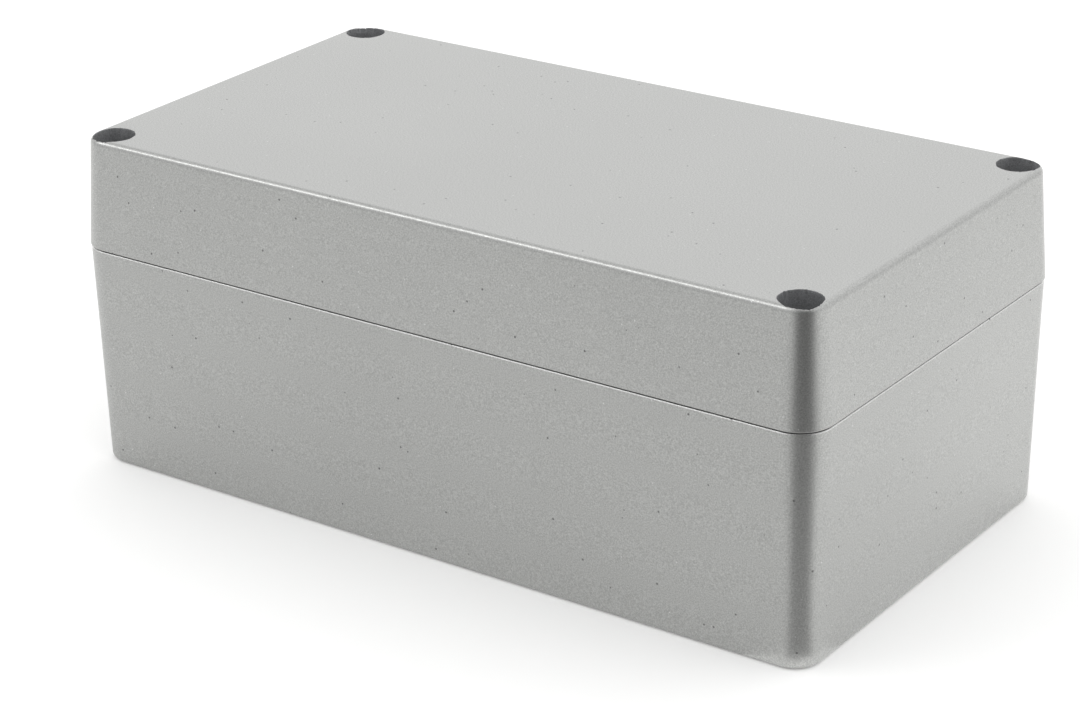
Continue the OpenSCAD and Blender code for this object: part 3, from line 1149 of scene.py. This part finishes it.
@dataclass(frozen=True)
class Scrim:
    """A grey net round the box that only gloss can show: it dims the white room as a studio does.

    Azimuths run from the front (-Y) towards the right (+X), about the near corner. Each row of
    levels gives the light that the net lets through on the floor by the box, low down and half
    way up. Far out, the floor's net is as dense as the low part that stands on it.
    """

    middle: tuple[float, float] = (0.1012, -0.0512)
    reach: float = 2.0
    azimuths: tuple[float, ...] = (-180, -150, -120, -90, -70, -25, 2, 20, 68, 92, 112, 145, 180)
    floor: tuple[float, ...] = (0.93, 0.93, 0.88, 0.76, 0.72, 0.68, 0.64, 0.26, 0.26, 0.76, 0.80, 0.80, 0.90)
    low: tuple[float, ...] = (0.90, 0.94, 0.94, 0.70, 0.61, 0.57, 0.52, 0.01, 0.01, 0.66, 0.70, 0.69, 0.86)
    mid: tuple[float, ...] = (0.84, 0.86, 0.64, 0.58, 0.64, 0.66, 0.58, 0.10, 0.10, 0.70, 0.76, 0.78, 0.82)
    overhead: float = 0.78
    low_to: float = 24.0
    mid_from: float = 46.0
    lift: float = 0.0004
    steps: int = 180
    rings: tuple[float, ...] = (0.012, 0.05, 0.1, 0.2, 0.4, 1.9)
    far: tuple[float, ...] = (0.0, 0.1, 0.4, 0.8, 1.0, 1.0)
    rises: tuple[float, ...] = (4, 14, 26, 36, 46, 58, 70, 82, 90)

    def along(self, row: Sequence[float], azimuth: float) -> float:
        """Read a row of levels at an azimuth.

        Args:
            row: One level for each of the azimuths.
            azimuth: In degrees, from -180 to 180.

        Returns:
            The level there.
        """
        for (a, b), (u, v) in zip(zip(self.azimuths, self.azimuths[1:]), zip(row, row[1:])):
            if azimuth <= b:
                return u + (v - u) * (azimuth - a) / (b - a)
        return row[-1]

    def level(self, azimuth: float, rise: float) -> float:
        """How much light the upright part lets through.

        Args:
            azimuth: In degrees.
            rise: Elevation in degrees.

        Returns:
            The share that passes.
        """
        low, mid = self.along(self.low, azimuth), self.along(self.mid, azimuth)
        if rise < self.mid_from:
            share = min(1.0, max(0.0, (rise - self.low_to) / (self.mid_from - self.low_to)))
            return low + (mid - low) * share
        return mid + (self.overhead - mid) * (rise - self.mid_from) / (90 - self.mid_from)

    def build(self) -> None:
        """Build the net."""
        steps = self.steps
        rows = [(reach, self.lift, -share) for reach, share in zip(self.rings, self.far)]
        rows += [(self.reach * math.cos(math.radians(e)), self.reach * math.sin(math.radians(e)), e)
                 for e in self.rises]
        points, levels, faces = [], [], []
        for reach, height, rise in rows:
            for i in range(steps):
                azimuth = -180 + 360 * i / steps
                a = math.radians(azimuth)
                points.append((self.middle[0] + reach * math.sin(a),
                               self.middle[1] - reach * math.cos(a), height))
                near, low = self.along(self.floor, azimuth), self.along(self.low, azimuth)
                levels.append(self.level(azimuth, rise) if rise > 0 else near + rise * (near - low))
        for row in range(len(rows) - 1):
            for i in range(steps):
                j = (i + 1) % steps
                inner, outer = row * steps, (row + 1) * steps
                faces.append((inner + i, inner + j, outer + j, outer + i))
        mesh = bpy.data.meshes.new("scrim")
        mesh.from_pydata(points, [], faces)
        mesh.attributes.new("level", "FLOAT", "POINT").data.foreach_set("value", levels)
        net = linked("scrim", mesh)
        g = Graph("scrim_net")
        level = g.nodes.new("ShaderNodeAttribute")
        level.attribute_name = "level"
        clear = g.nodes.new("ShaderNodeBsdfTransparent")
        g.link(level.outputs["Fac"], clear.inputs["Color"])
        g.link(clear.outputs[0], g.nodes["Material Output"].inputs["Surface"])
        coated(net, g.material)
        for use in ("visible_camera", "visible_diffuse", "visible_transmission", "visible_shadow"):
            setattr(net, use, False)


@dataclass
class Studio:
    """The pale floor, the soft light and the camera."""

    azimuth: float = 35.436
    elevation: float = 23.268
    roll: float = -0.908
    distance: float = 0.79445
    aim: tuple[float, float, float] = (0.0, 0.0, 0.044)
    slide_right: float = -0.0049676
    slide_up: float = -0.0104764
    lens: float = 103.373
    sensor: float = 36.0
    floor_half: float = 4.0
    floor_colour: tuple[float, float, float] = (0.86, 0.86, 0.855)
    floor_glow: float = 0.14
    brightest: tuple[float, float, float] = (0.45, 0.55, 0.70)

    def camera(self) -> None:
        """Place the camera."""
        az, el, roll = (math.radians(v) for v in (self.azimuth, self.elevation, self.roll))
        back = Vector((math.sin(az) * math.cos(el), -math.cos(az) * math.cos(el), math.sin(el)))
        right = Vector((math.cos(az), math.sin(az), 0))
        up = back.cross(right)
        right, up = (right * math.cos(roll) + up * math.sin(roll),
                     up * math.cos(roll) - right * math.sin(roll))
        data = bpy.data.cameras.new("camera")
        data.sensor_width = self.sensor
        data.lens = self.lens
        data.clip_start = 0.05
        data.clip_end = 50
        view = linked("camera", data)
        place = Vector(self.aim) + back * self.distance + right * self.slide_right + up * self.slide_up
        turn = Matrix((right, up, back)).transposed().to_4x4()
        view.matrix_world = Matrix.Translation(place) @ turn
        bpy.context.scene.camera = view

    def floor(self) -> None:
        """Lay the pale floor that keeps the box's shadow."""
        half = self.floor_half
        ring = [Vector((x, y, 0)) for x, y in ((-half, -half), (half, -half), (half, half), (-half, half))]
        mesh = bpy.data.meshes.new("floor")
        mesh.from_pydata([tuple(p) for p in ring], [], [(0, 1, 2, 3)])
        floor = linked("floor", mesh)
        g = Graph("pale_floor")
        g.fix(base_color=(*self.floor_colour, 1), roughness=0.9)
        g.shader.inputs["Specular IOR Level"].default_value = 0.0
        glow = g.nodes.new("ShaderNodeEmission")
        glow.inputs["Color"].default_value = (1.0, 1.0, 1.0, 1)
        glow.inputs["Strength"].default_value = self.floor_glow
        both = g.nodes.new("ShaderNodeAddShader")
        mix = g.nodes.new("ShaderNodeMixShader")
        g.link(g.shader.outputs[0], both.inputs[0])
        g.link(glow.outputs[0], both.inputs[1])
        g.link(looking(g.nodes, g.links), mix.inputs[0])
        g.link(g.shader.outputs[0], mix.inputs[1])
        g.link(both.outputs[0], mix.inputs[2])
        g.link(mix.outputs[0], g.nodes["Material Output"].inputs["Surface"])
        coated(floor, g.material)

    def world(self) -> None:
        """Light the room: plain white to look at, and brighter from the rear right for its light."""
        world = bpy.data.worlds.new("studio")
        world.use_nodes = True
        bpy.context.scene.world = world
        nodes, links = world.node_tree.nodes, world.node_tree.links
        light = nodes["Background"]
        light.inputs["Color"].default_value = (1, 1, 1, 1)
        ray = nodes.new("ShaderNodeTexCoord")
        toward = nodes.new("ShaderNodeVectorMath")
        toward.operation = "DOT_PRODUCT"
        toward.inputs[1].default_value = self.brightest
        level = nodes.new("ShaderNodeMapRange")
        for name, value in (("From Min", -1.0), ("From Max", 1.0), ("To Min", 0.45), ("To Max", 1.45)):
            level.inputs[name].default_value = value
        links.new(ray.outputs["Generated"], toward.inputs[0])
        links.new(toward.outputs["Value"], level.inputs["Value"])
        mix = nodes.new("ShaderNodeMix")
        links.new(looking(nodes, links), mix.inputs["Factor"])
        links.new(level.outputs["Result"], mix.inputs["A"])
        mix.inputs["B"].default_value = 1.0
        links.new(mix.outputs["Result"], light.inputs["Strength"])

    def strip_light(self, name: str, toward: Sequence[float], away: float,
                    sides: tuple[float, float], power: float) -> None:
        """Hang a long soft light, level with X, that faces the box.

        Args:
            name: Name of the light.
            toward: Direction from the box to the light.
            away: Distance.
            sides: Length along X and width across it.
            power: Watts.
        """
        data = bpy.data.lights.new(name, "AREA")
        data.shape = "RECTANGLE"
        data.size, data.size_y = sides
        data.energy = power
        light = linked(name, data)
        back = Vector(toward).normalized()
        across = Vector((1, 0, 0)) - back * back.x
        across.normalize()
        turn = Matrix((across, back.cross(across), back)).transposed().to_4x4()
        light.matrix_world = Matrix.Translation(Vector(self.aim) + back * away) @ turn

    def build(self) -> None:
        """Set the whole studio up."""
        self.camera()
        self.floor()
        self.world()
        Scrim().build()
        self.strip_light("key", toward=(-0.53, -0.42, 0.735), away=1.6, sides=(1.1, 0.09), power=3.0)
        bpy.context.scene.view_settings.view_transform = "Standard"


def save_sizes() -> None:
    """Define a helper that turns a box's corners into plain lists; no box is written."""
    def plain(box: Sequence[Sequence[float]]) -> list[list[float]]:
        return [[float(v) for v in corner] for corner in box]


def main() -> None:
    """Build the studio and every sub-assembly in order."""
    logging.basicConfig(level=logging.INFO, format="%(name)s: %(message)s")
    Studio().build()
    palette = Palette()
    for part in (Base(palette), Lid(palette), Seal(palette)):
        made = part.build()
        LOG.info("%s: %d faces", made.name, len(made.data.polygons))
    LidScrews(palette).build()
    for side in Side:
        EarthTerminal(palette, side).build()
    save_sizes()


if __name__ == "__main__":
    main()
